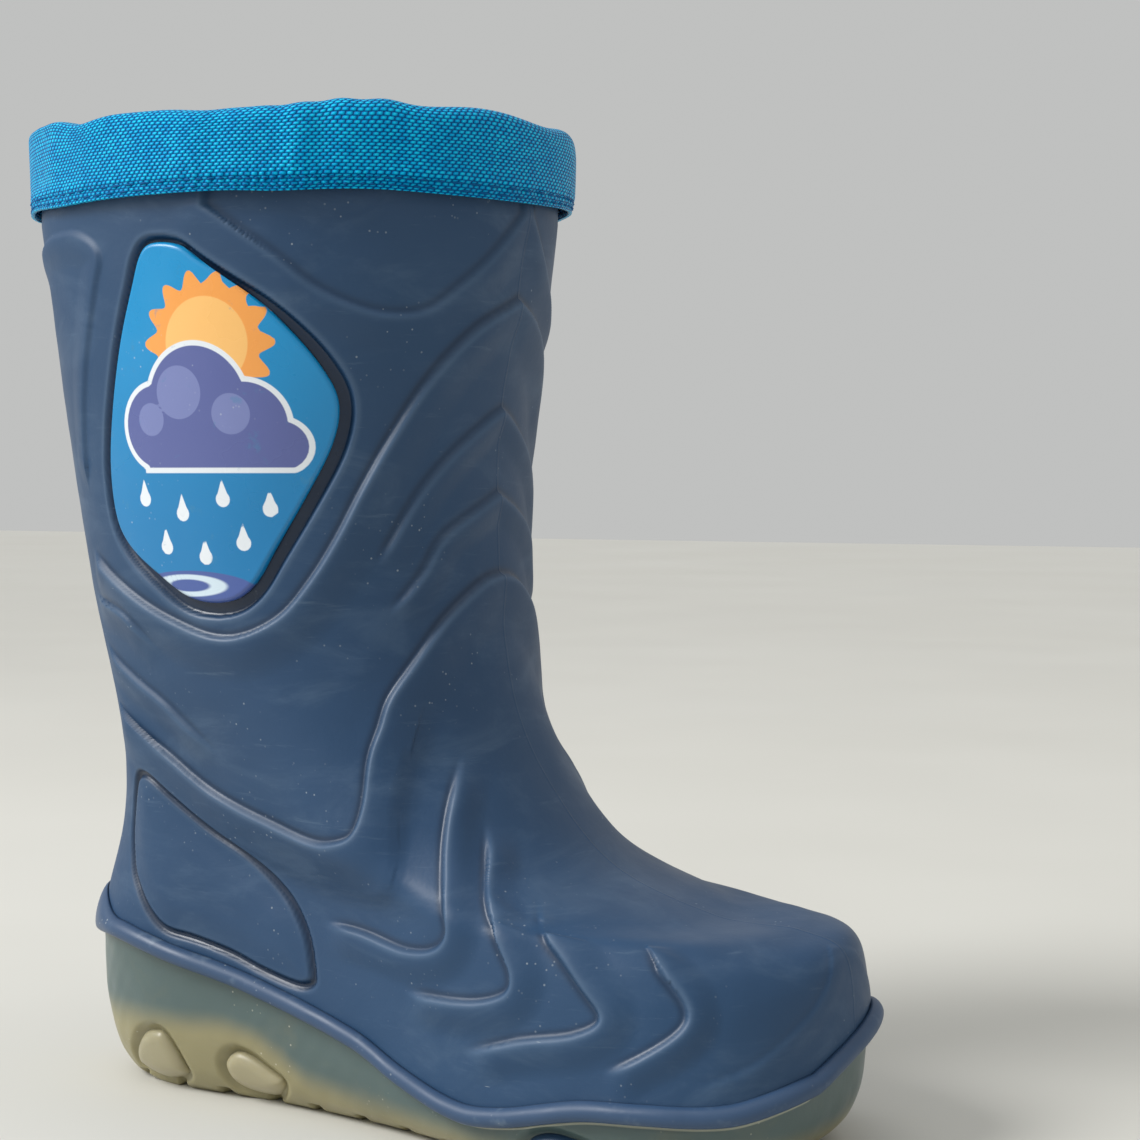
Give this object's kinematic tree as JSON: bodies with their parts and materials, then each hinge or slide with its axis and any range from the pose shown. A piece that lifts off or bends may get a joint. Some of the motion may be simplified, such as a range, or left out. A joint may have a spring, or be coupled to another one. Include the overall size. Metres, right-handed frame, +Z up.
{
  "type": "rubber rain boot",
  "caption": "Child's right-foot rubber rain boot with relief-moulded upper, translucent sole with side pods, inlaid shaft panel and a lift-out felt liner whose fabric cuff folds over the rim.",
  "frame": {"origin": "on the ground, under the middle of the boot's bounding box", "axes": "+X to the toe, +Y to the inner side of the foot, +Z up"},
  "size_m": [0.1999, 0.106, 0.2108],
  "materials": {
    "upper_rubber": "matt navy rubber, scuffed",
    "bead_rubber": "satin violet-blue rubber",
    "print_film": null,
    "sole_clear": "translucent yellowed sole rubber",
    "sole_base": "blue rubber seen through the sole",
    "liner_felt": "grey felt",
    "cuff_fabric": "cyan-blue woven nylon"
  },
  "bodies": {
    "boot": {"upper_shell": "upper_rubber", "rand_bead": "bead_rubber", "print_panel": "print_film", "outsole": "sole_clear", "midsole_core": "sole_base", "heel_pod_outer_rear": "sole_clear", "heel_pod_outer_front": "sole_clear", "heel_pod_inner_rear": "sole_clear", "heel_pod_inner_front": "sole_clear", "forefoot_pod_outer": "sole_base", "forefoot_pod_inner": "sole_base"},
    "liner": {"liner_leg": "liner_felt", "liner_foot": "liner_felt", "liner_insole": "liner_felt", "cuff": "cuff_fabric"}
  },
  "joints": [
    {"name": "liner_lift", "type": "slide", "parent": "boot", "child": "liner", "axis": [0, 0, 1], "range_m": [0, 0.22], "deforming": ["liner_foot", "liner_insole"]}
  ]
}
